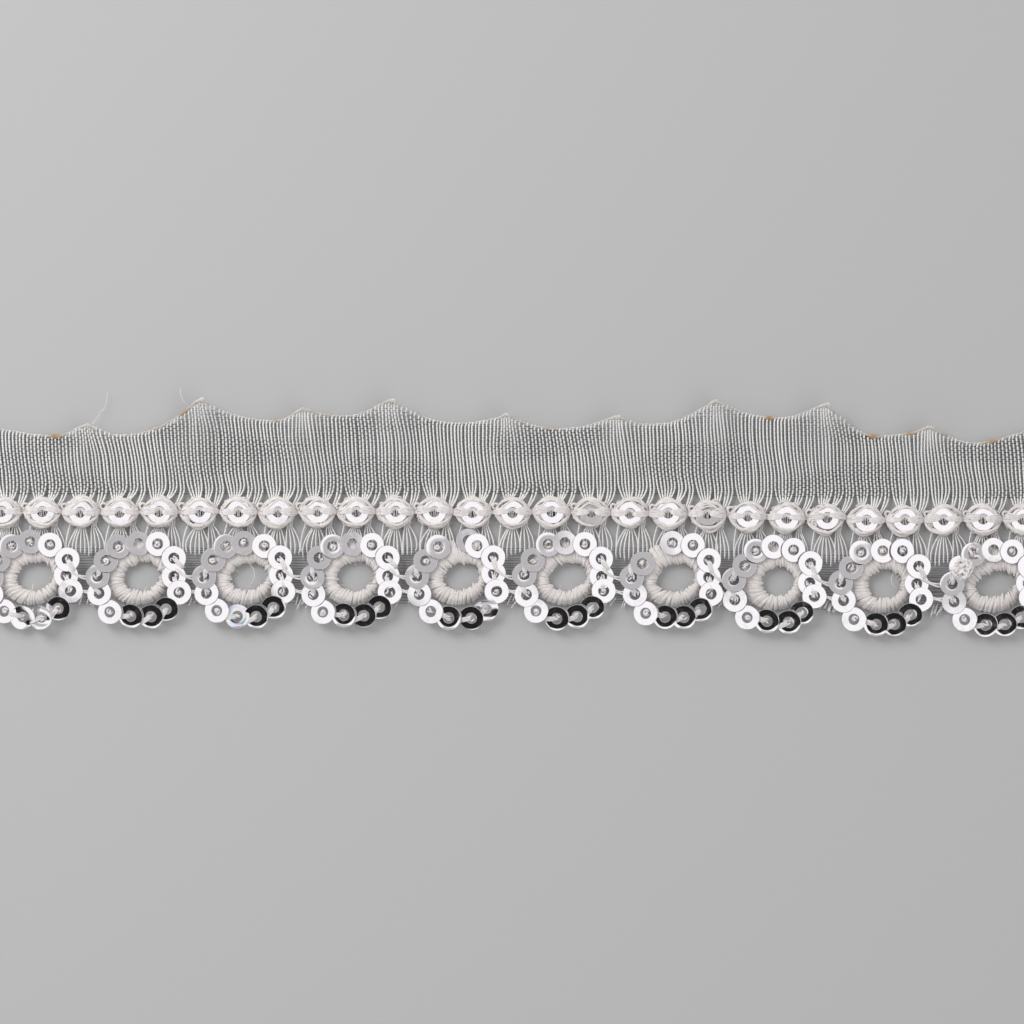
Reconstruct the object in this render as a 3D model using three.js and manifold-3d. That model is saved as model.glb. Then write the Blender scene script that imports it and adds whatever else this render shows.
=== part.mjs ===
// A cut length of sequin trim, lying flat. A white woven header band with a rippled upper
// edge carries a row of padded thread lozenges, each with one sequin. Below the band hang
// ten embroidered eyelets, each ringed by thirteen overlapping sequins.
// Units are millimetres. +X runs along the trim, +Y towards the band's rippled edge and
// +Z out of the face that shows. While it is built, X 0 is the middle of the length and
// Y 0 the line of the lozenges, and the last lines move the origin to the middle of the
// underside.
import Module from "manifold-3d";
import * as THREE from "three";
import { mergeVertices } from "three/addons/utils/BufferGeometryUtils.js";

// The whole length
const TRIM_LENGTH = 134;
const PIECE_GAP = 0.3;
// Both rows sink by this much towards the right end
const ROW_SAG = 0.95;
const SAG_STARTS = 10;
const SAG_ENDS = 48;

// The woven ground
const CLOTH_THICKNESS = 1;
const CLOTH_BOTTOM = -11.7;
const RIPPLE_FADES_AT = 3.6;
const RIPPLE_HALF_WIDTH = 2.3;
const RIPPLE_STEEPENS = 1.3;
const LEAST_RISE = 0.06;
const RIPPLE_ROWS = 3;
const LONGEST_COLUMN = 2;
const SHOULDER_REACH = 1.6;
const END_EDGE = { left: 10.6, right: 10.5 };
const FIRST_VALLEY = { at: -57.1, edge: 9.5 };
// One row for each ripple: where its crest stands, how far the cloth's edge reaches there,
// on the crest's left and right shoulders and in the valley to its right, and how high the
// crest rises off the surface
const RIPPLES = [
  { crest: -53.0, reach: 10.9, left: 10.4, right: 10.25, valley: -49.0, low: 9.6, rise: 1.3 },
  { crest: -38.9, reach: 14.1, left: 12.8, right: 13.05, valley: -29.6, low: 11.4, rise: 2.6 },
  { crest: -26.1, reach: 12.9, left: 12.0, right: 12.35, valley: -21.0, low: 12.0, rise: 1.8 },
  { crest: -15.1, reach: 13.9, left: 13.35, right: 13.0, valley: -6.8, low: 11.1, rise: 2.3 },
  { crest: -0.6, reach: 12.1, left: 11.65, right: 11.3, valley: 6.0, low: 10.4, rise: 1.8 },
  { crest: 13.1, reach: 11.9, left: 11.45, right: 11.35, valley: 17.5, low: 10.95, rise: 1.5 },
  { crest: 25.4, reach: 13.8, left: 13.0, right: 13.15, valley: 33.3, low: 11.75, rise: 2.3 },
  { crest: 39.1, reach: 13.4, left: 12.85, right: 12.15, valley: 45.6, low: 9.5, rise: 2.5 },
  { crest: 52.1, reach: 10.6, left: 10.0, right: 9.9, valley: 57.9, low: 8.6, rise: 1.6 },
];

// The row of padded lozenges, one long embroidered cord
const ROSETTE_COUNT = 27;
const ROSETTE_PITCH = 4.9;
const ROSETTE_MIDDLE = 0.05;
const CORD_BASE = CLOTH_THICKNESS + PIECE_GAP;
const CORD_HEIGHT = 0.6;
const LOZENGE_STATIONS = 5;
const LOZENGE_HALF_HEIGHT = 1.88;
const WAIST_HALF_HEIGHT = 0.55;
const WAIST_HEIGHT_SHARE = 0.7;
const LOZENGE_FULLNESS = 0.8;
// The cord's section from its lower edge over the top: across as a share of the half
// height, up as a share of the height
const CORD_SECTION = [
  { across: -1, up: 0 },
  { across: -0.94, up: 0.5 },
  { across: -0.6, up: 0.92 },
  { across: 0, up: 1 },
  { across: 0.6, up: 0.92 },
  { across: 0.94, up: 0.5 },
  { across: 1, up: 0 },
];

// Sequins
const SEQUIN_RADIUS = 1.5;
const SEQUIN_THICKNESS = 0.35;
const ROSETTE_SEQUIN_RADIUS = 1.42;
const ROSETTE_SEQUIN_SIDES = 10;
const RING_SEQUIN_SIDES = 8;
const ROSETTE_SEQUIN_BASE = CORD_BASE + CORD_HEIGHT + PIECE_GAP;

// The eyelets
const EYELET_ROW = -8.05;
const EYELET_PITCH = 13.35;
const EYELET_MIDDLE = 0.44;
const EYELET_TURN = THREE.MathUtils.degToRad(13);
const EYELET_SEGMENTS = 18;
const EYELET_MOUTH_SHARE = 0.7;
const EYELET_OUTER = { x: -0.6, y: 0.45, halfWidth: 4.2, halfHeight: 4.0 };
// The thread ring's section: out as a share of the way from the hole to the outer edge
const EYELET_SECTION = [
  { out: 0, z: 0 },
  { out: 0, z: 0.75 },
  { out: 0.35, z: 1.25 },
  { out: 1, z: 0.85 },
  { out: 1, z: 0 },
];
// One row for each eyelet: how far its hole is shifted along the row, and the hole's size
const EYELETS = [
  { shift: 0.0, width: 4.8, height: 3.75 },
  { shift: 0.0, width: 4.9, height: 3.75 },
  { shift: 0.0, width: 4.9, height: 3.6 },
  { shift: 0.0, width: 4.9, height: 3.85 },
  { shift: -0.1, width: 4.9, height: 3.5 },
  { shift: -0.1, width: 5.1, height: 3.6 },
  { shift: 0.05, width: 5.1, height: 3.75 },
  { shift: -0.55, width: 4.3, height: 3.75 },
  { shift: -0.55, width: 4.5, height: 3.85 },
  { shift: 0.0, width: 5.5, height: 3.3 },
];

// The ring of sequins round a hole, in the order they lie: each one lies on the one before,
// and the last one also lies on the first. Offsets are from the hole's middle.
const RING_SEQUINS = [
  { x: 4.0, y: 0.1 },
  { x: 4.4, y: -1.9 },
  { x: 3.0, y: -4.0 },
  { x: 1.1, y: -5.0 },
  { x: -1.4, y: -5.0 },
  { x: -3.9, y: -4.4 },
  { x: -5.25, y: -2.25 },
  { x: -5.5, y: 0.1 },
  { x: -4.4, y: 2.1 },
  { x: -2.8, y: 3.8 },
  { x: -0.5, y: 4.25 },
  { x: 2.0, y: 4.0 },
  { x: 4.1, y: 2.25 },
];
const RING_MIDDLE = { x: -0.6, y: -0.35 };
const RING_SEQUIN_MIDDLE_Z = 1.95;
const ONE_END_UP = 0.11;
const OUTER_SIDE_DOWN = 0.07;
const FIRST_SINKS = 0.08;
const LAST_RISES = 0.12;

const MERGE_WITHIN = 1e-4;

const wasm = await Module();
wasm.setup();

// Turns a closed geometry into a solid that can be joined and cut
function solidOf(geometry) {
  const bare = geometry.clone();
  bare.deleteAttribute("normal");
  bare.deleteAttribute("uv");
  const merged = mergeVertices(bare, MERGE_WITHIN);
  const mesh = new wasm.Mesh({
    numProp: 3,
    vertProperties: Float32Array.from(merged.attributes.position.array),
    triVerts: Uint32Array.from(merged.index.array),
  });
  return new wasm.Manifold(mesh);
}

function geometryOf(solid) {
  const { vertProperties, triVerts } = solid.getMesh();
  const geometry = new THREE.BufferGeometry();
  geometry.setAttribute("position", new THREE.Float32BufferAttribute(vertProperties, 3));
  geometry.setIndex(Array.from(triVerts));
  geometry.computeVertexNormals();
  return geometry;
}

// Skins closed loops of points that have equal counts, one after the other. A run that
// closes on itself joins the last loop to the first, and an open one is capped.
function skinLoops(loops, closesOnItself) {
  const count = loops[0].length;
  const positions = loops.flat().flatMap((point) => [point.x, point.y, point.z]);
  const faces = [];
  const spans = closesOnItself ? loops.length : loops.length - 1;
  for (let span = 0; span < spans; span += 1) {
    const here = span * count;
    const next = ((span + 1) % loops.length) * count;
    for (let i = 0; i < count; i += 1) {
      const j = (i + 1) % count;
      faces.push(here + i, here + j, next + j);
      faces.push(here + i, next + j, next + i);
    }
  }
  if (!closesOnItself) {
    const last = (loops.length - 1) * count;
    for (let i = 1; i < count - 1; i += 1) {
      faces.push(0, i + 1, i);
      faces.push(last, last + i, last + i + 1);
    }
  }
  const geometry = new THREE.BufferGeometry();
  geometry.setAttribute("position", new THREE.Float32BufferAttribute(positions, 3));
  geometry.setIndex(faces);
  geometry.computeVertexNormals();
  return geometry;
}

function rowSag(x) {
  return -ROW_SAG * THREE.MathUtils.smoothstep(x, SAG_STARTS, SAG_ENDS);
}

// The points that the band's upper edge runs through, in order along the trim
function edgeKnots() {
  const knots = [{ x: -TRIM_LENGTH / 2, y: END_EDGE.left, flat: true }];
  knots.push({ x: FIRST_VALLEY.at, y: FIRST_VALLEY.edge, flat: true });
  for (const ripple of RIPPLES) {
    knots.push({ x: ripple.crest - SHOULDER_REACH, y: ripple.left, flat: false });
    knots.push({ x: ripple.crest, y: ripple.reach, flat: false });
    knots.push({ x: ripple.crest + SHOULDER_REACH, y: ripple.right, flat: false });
    knots.push({ x: ripple.valley, y: ripple.low, flat: true });
  }
  knots.push({ x: TRIM_LENGTH / 2, y: END_EDGE.right, flat: true });
  return knots;
}

// Along the edge: straight from a shoulder to a crest, and level as it meets a valley
function edgeColumns() {
  const knots = edgeKnots();
  const columns = [{ x: knots[0].x, top: knots[0].y }];
  for (let k = 1; k < knots.length; k += 1) {
    const from = knots[k - 1];
    const to = knots[k];
    const steps = Math.ceil((to.x - from.x) / LONGEST_COLUMN);
    for (let i = 1; i <= steps; i += 1) {
      const share = i / steps;
      let eased = share;
      if (from.flat) {
        eased = to.flat ? THREE.MathUtils.smoothstep(share, 0, 1) : share * share;
      } else if (to.flat) {
        eased = 1 - (1 - share) * (1 - share);
      }
      columns.push({
        x: THREE.MathUtils.lerp(from.x, to.x, share),
        top: THREE.MathUtils.lerp(from.y, to.y, eased),
      });
    }
  }
  return columns;
}

// How high the underside stands at x, from 0 at the fading line to 1 at the upper edge
function rippleRise(x, towardsEdge) {
  let rise = 0;
  for (const ripple of RIPPLES) {
    const away = (x - ripple.crest) / RIPPLE_HALF_WIDTH;
    rise += ripple.rise * Math.exp(-away * away);
  }
  return Math.max(0, rise * towardsEdge ** RIPPLE_STEEPENS - LEAST_RISE);
}

function makeClothSheet() {
  const loops = [];
  for (const { x, top } of edgeColumns()) {
    const bottom = CLOTH_BOTTOM + rowSag(x);
    const upper = [new THREE.Vector3(x, bottom, CLOTH_THICKNESS)];
    const under = [new THREE.Vector3(x, bottom, 0)];
    for (let row = 0; row <= RIPPLE_ROWS; row += 1) {
      const towardsEdge = row / RIPPLE_ROWS;
      const y = THREE.MathUtils.lerp(RIPPLE_FADES_AT, top, towardsEdge);
      const z = rippleRise(x, towardsEdge);
      upper.push(new THREE.Vector3(x, y, z + CLOTH_THICKNESS));
      under.push(new THREE.Vector3(x, y, z));
    }
    loops.push([...under, ...upper.reverse()]);
  }
  return skinLoops(loops, false);
}

function eyeletPlace(index) {
  const x = EYELET_MIDDLE + (index - (EYELETS.length - 1) / 2) * EYELET_PITCH + EYELETS[index].shift;
  return new THREE.Vector3(x, EYELET_ROW + rowSag(x), 0);
}

// The clearance for one eyelet: its outer ellipse grown by the gap, and a block that opens
// it through the cloth's lower edge
function makeEyeletCutter(index) {
  const place = eyeletPlace(index);
  const middle = { x: place.x + EYELET_OUTER.x, y: place.y + EYELET_OUTER.y };
  const halfWidth = EYELET_OUTER.halfWidth + PIECE_GAP;
  const halfHeight = EYELET_OUTER.halfHeight + PIECE_GAP;
  const outline = new THREE.Shape();
  outline.absellipse(middle.x, middle.y, halfWidth, halfHeight, 0, 2 * Math.PI, false, 0);
  const depth = 3 * CLOTH_THICKNESS;
  const round = new THREE.ExtrudeGeometry(outline, {
    depth,
    bevelEnabled: false,
    curveSegments: EYELET_SEGMENTS,
  });
  round.translate(0, 0, -CLOTH_THICKNESS);
  const mouth = new THREE.BoxGeometry(EYELET_MOUTH_SHARE * 2 * halfWidth, 2 * halfHeight, depth);
  mouth.translate(middle.x, middle.y - halfHeight, depth / 2 - CLOTH_THICKNESS);
  return solidOf(round).add(solidOf(mouth));
}

function makeGroundCloth() {
  let cloth = solidOf(makeClothSheet());
  for (let index = 0; index < EYELETS.length; index += 1) {
    cloth = cloth.subtract(makeEyeletCutter(index));
  }
  return geometryOf(cloth);
}

function rosetteX(index) {
  return ROSETTE_MIDDLE + (index - (ROSETTE_COUNT - 1) / 2) * ROSETTE_PITCH;
}

function makeRosetteCord() {
  const loops = [];
  const stations = ROSETTE_COUNT * LOZENGE_STATIONS;
  for (let station = 0; station <= stations; station += 1) {
    const x = rosetteX(0) + (station / LOZENGE_STATIONS - 0.5) * ROSETTE_PITCH;
    const swell = Math.sin(Math.PI * ((station / LOZENGE_STATIONS) % 1)) ** LOZENGE_FULLNESS;
    const halfHeight = THREE.MathUtils.lerp(WAIST_HALF_HEIGHT, LOZENGE_HALF_HEIGHT, swell);
    const height = CORD_HEIGHT * THREE.MathUtils.lerp(WAIST_HEIGHT_SHARE, 1, swell);
    loops.push(
      CORD_SECTION.map(
        ({ across, up }) =>
          new THREE.Vector3(x, rowSag(x) - across * halfHeight, CORD_BASE + up * height),
      ),
    );
  }
  return skinLoops(loops, false);
}

// A sequin as a flat disc about its middle
function makeDisc(radius, sides) {
  const disc = new THREE.CylinderGeometry(radius, radius, SEQUIN_THICKNESS, sides);
  disc.rotateX(Math.PI / 2);
  return disc;
}

function makeEyelet(index) {
  const { width, height } = EYELETS[index];
  const loops = [];
  for (let segment = 0; segment < EYELET_SEGMENTS; segment += 1) {
    const angle = (2 * Math.PI * segment) / EYELET_SEGMENTS;
    const hole = new THREE.Vector2((width / 2) * Math.cos(angle), (height / 2) * Math.sin(angle));
    hole.rotateAround(new THREE.Vector2(), EYELET_TURN);
    const outer = new THREE.Vector2(
      EYELET_OUTER.x + EYELET_OUTER.halfWidth * Math.cos(angle + EYELET_TURN),
      EYELET_OUTER.y + EYELET_OUTER.halfHeight * Math.sin(angle + EYELET_TURN),
    );
    loops.push(
      EYELET_SECTION.map(({ out, z }) => {
        const point = hole.clone().lerp(outer, out);
        return new THREE.Vector3(point.x, point.y, z);
      }),
    );
  }
  return skinLoops(loops, true);
}

// One disc of a ring, leaning down towards the next one and over the eyelet's shoulder
function makeRingDisc(order) {
  const { x, y } = RING_SEQUINS[order];
  const outward = new THREE.Vector3(x - RING_MIDDLE.x, y - RING_MIDDLE.y, 0).normalize();
  const onward = new THREE.Vector3(outward.y, -outward.x, 0);
  const isFirst = order === 0;
  const isLast = order === RING_SEQUINS.length - 1;
  const leansOn = isFirst || isLast ? 0 : ONE_END_UP;
  const normal = new THREE.Vector3(0, 0, 1)
    .addScaledVector(onward, leansOn)
    .addScaledVector(outward, OUTER_SIDE_DOWN)
    .normalize();
  const disc = makeDisc(SEQUIN_RADIUS, RING_SEQUIN_SIDES);
  disc.applyQuaternion(new THREE.Quaternion().setFromUnitVectors(new THREE.Vector3(0, 0, 1), normal));
  let z = RING_SEQUIN_MIDDLE_Z;
  if (isFirst) {
    z -= FIRST_SINKS;
  }
  if (isLast) {
    z += LAST_RISES;
  }
  disc.translate(x, y, z);
  return disc;
}

function makeRingSequins() {
  let ring = solidOf(makeRingDisc(0));
  for (let order = 1; order < RING_SEQUINS.length; order += 1) {
    ring = ring.add(solidOf(makeRingDisc(order)));
  }
  return geometryOf(ring);
}

const materials = {
  cloth: { color: "#e2e0dc", roughness: 0.85, metalness: 0 },
  thread: { color: "#e0d8d0", roughness: 0.7, metalness: 0 },
  sequin: { color: "#c9ced3", roughness: 0.15, metalness: 1 },
};

function addPiece(parent, name, geometry, look) {
  const piece = new THREE.Mesh(geometry, new THREE.MeshStandardMaterial(materials[look]));
  piece.name = name;
  parent.add(piece);
  return piece;
}

const twoDigits = (index) => String(index + 1).padStart(2, "0");

const trim = new THREE.Group();
addPiece(trim, "ground_cloth", makeGroundCloth(), "cloth");
addPiece(trim, "rosette_cord", makeRosetteCord(), "thread");
for (let index = 0; index < ROSETTE_COUNT; index += 1) {
  const name = `rosette_sequin_${twoDigits(index)}`;
  const sequin = addPiece(trim, name, makeDisc(ROSETTE_SEQUIN_RADIUS, ROSETTE_SEQUIN_SIDES), "sequin");
  const x = rosetteX(index);
  sequin.position.set(x, rowSag(x), ROSETTE_SEQUIN_BASE + SEQUIN_THICKNESS / 2);
}
for (let index = 0; index < EYELETS.length; index += 1) {
  const place = eyeletPlace(index);
  addPiece(trim, `eyelet_${twoDigits(index)}`, makeEyelet(index), "thread").position.copy(place);
  addPiece(trim, `ring_sequins_${twoDigits(index)}`, makeRingSequins(), "sequin").position.copy(place);
}

// The origin goes to the middle of the underside
trim.updateMatrixWorld(true);
const box = new THREE.Box3().setFromObject(trim);
const middle = box.getCenter(new THREE.Vector3());
trim.position.set(-middle.x, -middle.y, -box.min.z);
trim.updateMatrixWorld(true);

export default trim;
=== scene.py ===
# Sequin trim, lying flat and seen from straight above.
# Lengths are in millimetres until a mesh is made; the frame is in metres.
import math

import bpy
import numpy as np
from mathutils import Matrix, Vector


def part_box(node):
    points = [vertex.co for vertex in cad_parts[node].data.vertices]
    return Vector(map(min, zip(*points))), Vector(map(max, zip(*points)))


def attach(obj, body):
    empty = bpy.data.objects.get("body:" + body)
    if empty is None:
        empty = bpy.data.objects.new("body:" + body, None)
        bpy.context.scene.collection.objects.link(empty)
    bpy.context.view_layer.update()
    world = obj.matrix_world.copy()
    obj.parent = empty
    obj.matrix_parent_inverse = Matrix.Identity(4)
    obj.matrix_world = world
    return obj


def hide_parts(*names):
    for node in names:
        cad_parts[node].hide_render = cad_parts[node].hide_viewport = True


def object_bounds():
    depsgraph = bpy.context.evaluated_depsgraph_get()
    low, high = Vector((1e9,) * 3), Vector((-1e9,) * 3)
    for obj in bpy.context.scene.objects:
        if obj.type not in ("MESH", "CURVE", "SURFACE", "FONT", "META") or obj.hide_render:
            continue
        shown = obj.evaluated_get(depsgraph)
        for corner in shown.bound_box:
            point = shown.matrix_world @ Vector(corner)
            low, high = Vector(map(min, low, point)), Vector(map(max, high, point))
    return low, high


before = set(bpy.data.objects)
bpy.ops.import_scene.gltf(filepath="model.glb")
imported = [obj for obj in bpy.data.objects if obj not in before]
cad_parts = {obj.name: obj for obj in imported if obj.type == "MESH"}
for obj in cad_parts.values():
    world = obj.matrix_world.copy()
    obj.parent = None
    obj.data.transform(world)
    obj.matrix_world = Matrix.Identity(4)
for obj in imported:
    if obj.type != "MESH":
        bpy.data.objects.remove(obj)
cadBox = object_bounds()

metre = 1000.0  # millimetres in one
twoPi = 2 * math.pi
upward = np.array([0.0, 0.0, 1.0])
alongTrim = np.array([1.0, 0.0, 0.0])


# Places read from the frame

def nodesNamed(start):
    # The nodes whose names start so, and the middles of their boxes seen from above
    names = sorted(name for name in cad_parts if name.startswith(start))
    boxes = np.array([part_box(name) for name in names])
    return names, boxes.mean(axis=1)[:, :2] * metre


rosetteNames, rosettes = nodesNamed("rosette_sequin_")
eyeletNames, eyeletMiddles = nodesNamed("eyelet_")
ringNames, _ = nodesNamed("ring_sequins_")
eyeletShift = np.array([-0.6, 0.45])  # the thread ring sits off its hole by this much
holes = eyeletMiddles - eyeletShift
gaps = (holes[1:] + holes[:-1]) / 2 + (eyeletShift[0], 0)  # between the eyelets
rowY = rosettes[0, 1]  # the line of the rosettes at the left end
halfLength = cadBox[1][0] * metre


def rowSag(x):
    return np.interp(x, rosettes[:, 0], rosettes[:, 1]) - rowY


# Curves and seeded waves

def unit(vectors):
    return vectors / np.maximum(np.linalg.norm(vectors, axis=-1, keepdims=True), 1e-12)


def line(x, y, z):
    # Points from their coordinates, any of which may be one number for all
    return np.stack(np.broadcast_arrays(x, y, z), -1)


def smooth(value, low, high):
    share = np.clip((np.asarray(value, float) - low) / (high - low), 0, 1)
    return share * share * (3 - 2 * share)


def bell(x, middle, width):
    return np.exp(-(((x - middle) / width) ** 2))


def arch(share, power):
    # 1 in the middle and 0 at -1 and 1, and fuller where the power is small
    return np.maximum(np.cos(np.clip(share, -1, 1) * math.pi / 2), 0) ** power


def wander(rng, x, reach, waves=4, shortest=3.0):
    # A smooth seeded wave along x, about reach high
    x = np.asarray(x, float)
    total = np.zeros_like(x)
    for k in range(waves):
        total = total + np.sin(x * twoPi / (shortest * (1 + 1.7 * k)) + rng.uniform(0, twoPi))
    return reach * total / math.sqrt(waves)


# Tubes, skins and pieces. A pile gathers the points and faces of one piece.

def newPile():
    pile = {key: [] for key in ("points", "threadRun", "tint", "quads", "caps", "quadLook", "capLook")}
    pile["count"] = 0
    return pile


def skin(pile, points, run, tint, closed, look):
    # Joins each ring of points to the next one; points is tubes x rings x sides x 3
    tubes, rings, sides = points.shape[:3]
    index = pile["count"] + np.arange(tubes * rings * sides).reshape(tubes, rings, sides)
    here = index if closed else index[:, :-1]
    there = np.roll(index, -1, 1) if closed else index[:, 1:]
    quads = np.stack([here, np.roll(here, -1, 2), np.roll(there, -1, 2), there], -1).reshape(-1, 4)
    caps = [] if closed else np.concatenate([index[:, 0, ::-1], index[:, -1]]).tolist()
    pile["points"].append(points.reshape(-1, 3))
    pile["threadRun"].append(run.reshape(-1, 3))
    pile["tint"].append(np.repeat(tint.reshape(-1), sides))
    pile["quads"].append(quads)
    pile["quadLook"].append(np.full(len(quads), look))
    pile["caps"] += caps
    pile["capLook"].append(np.full(len(caps), look))
    pile["count"] += tubes * rings * sides


def addTubes(pile, paths, radius, across, sides=6, tint=0.0, look=0, flat=1.0):
    # paths is one path or tubes x points x 3; across is a direction that no path runs along
    paths = np.asarray(paths, float)
    if paths.ndim == 2:
        paths = paths[None]
    tubes, steps = paths.shape[:2]
    radius = np.broadcast_to(np.asarray(radius, float), (tubes, steps))
    tint = np.asarray(tint, float)
    if tint.ndim == 1:
        tint = tint[:, None]  # one for each tube
    along = unit(np.gradient(paths, axis=1))
    across = np.broadcast_to(np.asarray(across, float), paths.shape)
    side = unit(across - (across * along).sum(-1, keepdims=True) * along)
    over = np.cross(side, along)
    turn = np.arange(sides) * twoPi / sides
    ring = np.cos(turn)[:, None] * side[:, :, None] + flat * np.sin(turn)[:, None] * over[:, :, None]
    points = paths[:, :, None] + radius[:, :, None, None] * ring
    length = np.zeros((tubes, steps))
    length[:, 1:] = np.cumsum(np.linalg.norm(np.diff(paths, axis=1), axis=2), axis=1)
    run = line(np.cos(turn), np.sin(turn), length[:, :, None])
    skin(pile, points, run, np.broadcast_to(tint, (tubes, steps)), False, look)


def addStrand(pile, middle, x, y, z, radius, tint, sides=6, across=upward, flat=1.0):
    # One thread whose x and y are measured from a middle
    addTubes(pile, line(middle[0] + x, middle[1] + y, z), radius, across, sides=sides, tint=tint, flat=flat)


def addLoops(pile, loops, tint):
    # Skins loops x points x 3, and the last loop to the first
    loops = np.asarray(loops, float)[None]
    count, sides = loops.shape[1:3]
    turn = np.arange(sides) * twoPi / sides
    run = line(np.cos(turn), np.sin(turn), np.arange(count)[:, None] * 0.2)
    skin(pile, loops, run, np.full((1, count), tint), True, 0)


def makePiece(name, pile, materials, replaced=()):
    mesh = bpy.data.meshes.new(name)
    points = np.concatenate(pile["points"]) / metre
    mesh.from_pydata(points.tolist(), [], np.concatenate(pile["quads"]).tolist() + pile["caps"])
    for key, kind, part in (("threadRun", "FLOAT_VECTOR", "vector"), ("tint", "FLOAT", "value")):
        values = np.concatenate(pile[key]).astype(np.float32)
        mesh.attributes.new(key, kind, "POINT").data.foreach_set(part, values.ravel())
    looks = np.concatenate(pile["quadLook"] + pile["capLook"]).astype(np.int32)
    mesh.polygons.foreach_set("material_index", looks)
    mesh.polygons.foreach_set("use_smooth", np.ones(len(mesh.polygons), bool))
    for material in materials:
        mesh.materials.append(material)
    mesh.update()
    piece = bpy.data.objects.new(name, mesh)
    bpy.context.scene.collection.objects.link(piece)
    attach(piece, "root")
    if replaced:
        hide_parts(*replaced)
    return piece


# Shader nodes

def feed(tree, socket, value):
    # Links a socket, or sets its own value
    if isinstance(value, bpy.types.NodeSocket):
        tree.links.new(value, socket)
    else:
        socket.default_value = value


def addNode(tree, kind, inputs=None, **settings):
    node = tree.nodes.new(kind)
    for key, value in settings.items():
        setattr(node, key, value)
    for key, value in (inputs or {}).items():
        feed(tree, node.inputs[key], value)
    return node


def maths(tree, operation, *values):
    return addNode(tree, "ShaderNodeMath", dict(enumerate(values)), operation=operation).outputs[0]


def stretch(tree, vector, scales):
    return addNode(tree, "ShaderNodeVectorMath", {0: vector, 1: scales}, operation="MULTIPLY").outputs[0]


def noise(tree, vector, scale, detail):
    inputs = {"Vector": vector, "Scale": scale, "Detail": detail}
    return addNode(tree, "ShaderNodeTexNoise", inputs).outputs[0]


def remap(tree, value, start, end, low, high, easing="LINEAR"):
    inputs = {"Value": value, "From Min": start, "From Max": end, "To Min": low, "To Max": high}
    return addNode(tree, "ShaderNodeMapRange", inputs, interpolation_type=easing).outputs[0]


def mixColours(tree, factor, first, second):
    inputs = {0: factor, 6: first, 7: second}
    return addNode(tree, "ShaderNodeMix", inputs, data_type="RGBA", clamp_factor=True).outputs[2]


# Node groups that several materials share

def newGroup(name, inputs, outputs):
    group = bpy.data.node_groups.new(name, "ShaderNodeTree")
    for label, kind, value in inputs:
        socket = group.interface.new_socket(name=label, in_out="INPUT", socket_type=kind)
        if value is not None:
            socket.default_value = value
    for label, kind in outputs:
        group.interface.new_socket(name=label, in_out="OUTPUT", socket_type=kind)
    entry = group.nodes.new("NodeGroupInput")
    leave = group.nodes.new("NodeGroupOutput")
    return group, entry.outputs, leave.inputs


def makeTwistGroup():
    # The lay of a plied thread: ridges that wind round it, from the cosine, sine and length in Run, and a
    # mask for painted shade in the grooves between the ridges
    group, entry, leave = newGroup(
        "threadTwist",
        [
            ("Run", "NodeSocketVector", None),
            ("Turns per mm", "NodeSocketFloat", 1.2),
            ("Plies", "NodeSocketFloat", 2.0),
        ],
        [("Height", "NodeSocketFloat"), ("Painted Groove Shade", "NodeSocketFloat")],
    )
    cosine, sine, length = addNode(group, "ShaderNodeSeparateXYZ", {0: entry["Run"]}).outputs
    angle = maths(group, "ARCTAN2", sine, cosine)
    travel = maths(group, "MULTIPLY", maths(group, "MULTIPLY", length, entry["Turns per mm"]), twoPi)
    wave = maths(group, "SINE", maths(group, "MULTIPLY_ADD", angle, entry["Plies"], travel))
    ridge = maths(group, "MULTIPLY_ADD", wave, 0.5, 0.5)
    feed(group, leave["Height"], ridge)
    # Painted shade: the mask is strongest at the bottom of each groove between the plies
    feed(group, leave["Painted Groove Shade"], maths(group, "POWER", maths(group, "SUBTRACT", 1.0, ridge), 3.0))
    return group


def makeFibreGroup():
    # Fine filaments along a thread, and slow tone changes from thread to thread
    group, entry, leave = newGroup(
        "fibreTone",
        [
            ("Run", "NodeSocketVector", None),
            ("Tint", "NodeSocketFloat", 0.0),
            ("Place", "NodeSocketVector", None),
        ],
        [("Height", "NodeSocketFloat"), ("Tone", "NodeSocketFloat")],
    )
    filaments = noise(group, stretch(group, entry["Run"], (5.0, 5.0, 0.8)), 2.2, 3.0)
    spots = maths(group, "MULTIPLY_ADD", noise(group, entry["Place"], 420.0, 2.0), 0.6, -0.1)
    feed(group, leave["Height"], filaments)
    feed(group, leave["Tone"], maths(group, "ADD", spots, maths(group, "MULTIPLY", entry["Tint"], 0.5)))
    return group


def makeFilmGroup():
    # Handling marks on mirror film: fine scratches, shallow dents and haze, and its play of colour
    group, entry, leave = newGroup(
        "filmWear",
        [("Place", "NodeSocketVector", None)],
        [
            ("Height", "NodeSocketFloat"),
            ("Haze", "NodeSocketFloat"),
            ("Sheen Colour", "NodeSocketColor"),
        ],
    )
    dents = noise(group, entry["Place"], 700.0, 1.0)
    scratches = noise(group, stretch(group, entry["Place"], (9000.0, 1400.0, 3000.0)), 1.0, 4.0)
    scratches = maths(group, "MULTIPLY", maths(group, "POWER", scratches, 5.0), 0.6)
    clouds = noise(group, entry["Place"], 1500.0, 3.0)
    bands = maths(group, "FRACT", maths(group, "MULTIPLY", dents, 5.0))
    ramp = addNode(group, "ShaderNodeValToRGB", {0: bands})
    colours = [
        (0.0, (0.62, 0.8, 0.9, 1)), (0.3, (0.86, 0.9, 0.8, 1)),
        (0.55, (0.9, 0.74, 0.86, 1)), (1.0, (0.64, 0.78, 0.95, 1)),
    ]
    for position, _ in colours[1:-1]:
        ramp.color_ramp.elements.new(position)
    for element, (position, colour) in zip(ramp.color_ramp.elements, colours):
        element.position = position
        element.color = colour
    feed(group, leave["Height"], maths(group, "ADD", dents, scratches))
    feed(group, leave["Haze"], remap(group, clouds, 0.35, 0.75, 0.07, 0.2))
    feed(group, leave["Sheen Colour"], ramp.outputs[0])
    return group


twistGroup = makeTwistGroup()
fibreGroup = makeFibreGroup()
filmGroup = makeFilmGroup()


# Materials

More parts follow.
